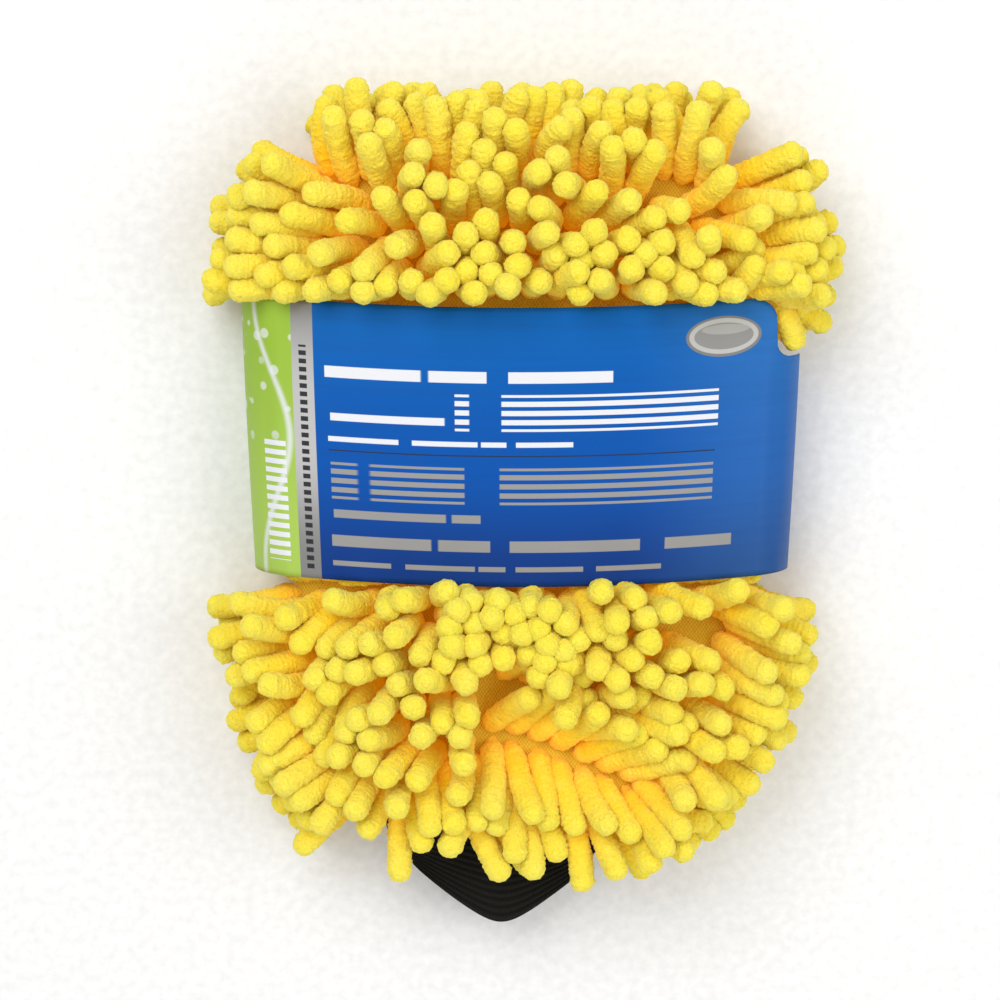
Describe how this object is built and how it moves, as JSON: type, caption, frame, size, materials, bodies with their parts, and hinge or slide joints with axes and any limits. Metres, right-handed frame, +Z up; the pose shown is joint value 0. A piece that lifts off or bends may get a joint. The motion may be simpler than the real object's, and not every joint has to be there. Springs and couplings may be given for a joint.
{
  "type": "wash mitt",
  "caption": "Chenille wash mitt with a lined hand pocket, a ribbed elastic cuff and a card sleeve that slides off over the cuff.",
  "frame": {"origin": "centre of the footprint, on the surface the mitt lies on", "axes": "+Y to the finger end, +X to the right seen from the front face, +Z up out of the front face"},
  "size_m": [0.2016, 0.27, 0.0578],
  "materials": {
    "noodles": "soft chenille pile",
    "ground_fabric": "woven, matt",
    "lining": "smooth woven, matt",
    "tape": "woven tape",
    "thread": "twisted thread",
    "cuff": "ribbed elastic knit",
    "cuff_trim": "woven, matt",
    "card": "printed, satin varnish",
    "glue": "dried glue"
  },
  "bodies": {
    "mitt": {"front_ground_fabric": "ground_fabric", "back_ground_fabric": "ground_fabric", "front_lining": "lining", "back_lining": "lining", "edge_seam_tape": "tape", "edge_seam_thread": "thread", "cuff_seam_binding": "cuff_trim", "cuff_seam_thread": "cuff_trim", "ribbed_elastic_cuff": "cuff", "front_noodle_row_01": "noodles", "front_noodle_row_02": "noodles", "front_noodle_row_03": "noodles", "front_noodle_row_04": "noodles", "front_noodle_row_05": "noodles", "front_noodle_row_06": "noodles", "front_noodle_row_07": "noodles", "front_noodle_row_08": "noodles", "front_noodle_row_09": "noodles", "front_noodle_row_10": "noodles", "front_noodle_row_11": "noodles", "front_noodle_row_12": "noodles", "front_noodle_row_13": "noodles", "front_noodle_row_14": "noodles", "front_noodle_row_15": "noodles", "front_noodle_row_16": "noodles", "back_noodle_row_01": "noodles", "back_noodle_row_02": "noodles", "back_noodle_row_03": "noodles", "back_noodle_row_04": "noodles", "back_noodle_row_05": "noodles", "back_noodle_row_06": "noodles", "back_noodle_row_07": "noodles", "back_noodle_row_08": "noodles", "back_noodle_row_09": "noodles", "back_noodle_row_10": "noodles", "back_noodle_row_11": "noodles", "back_noodle_row_12": "noodles", "back_noodle_row_13": "noodles", "back_noodle_row_14": "noodles", "back_noodle_row_15": "noodles", "back_noodle_row_16": "noodles", "left_edge_row_wrist": "noodles", "left_edge_row_middle": "noodles", "left_edge_row_finger": "noodles", "finger_end_row": "noodles", "right_edge_row_finger": "noodles", "right_edge_row_middle": "noodles", "right_edge_row_wrist": "noodles"},
    "sleeve": {"card_sleeve": "card", "sleeve_glue_line": "glue"}
  },
  "joints": [
    {"name": "sleeve_slide", "type": "slide", "parent": "mitt", "child": "sleeve", "axis": [0, -1, 0], "range_m": [0, 0.205], "deforming": ["front_noodle_row_01", "front_noodle_row_02", "front_noodle_row_03", "front_noodle_row_04", "front_noodle_row_05", "front_noodle_row_06", "back_noodle_row_01", "back_noodle_row_02", "back_noodle_row_03", "back_noodle_row_04", "back_noodle_row_05", "back_noodle_row_06", "left_edge_row_wrist", "right_edge_row_wrist"]}
  ]
}
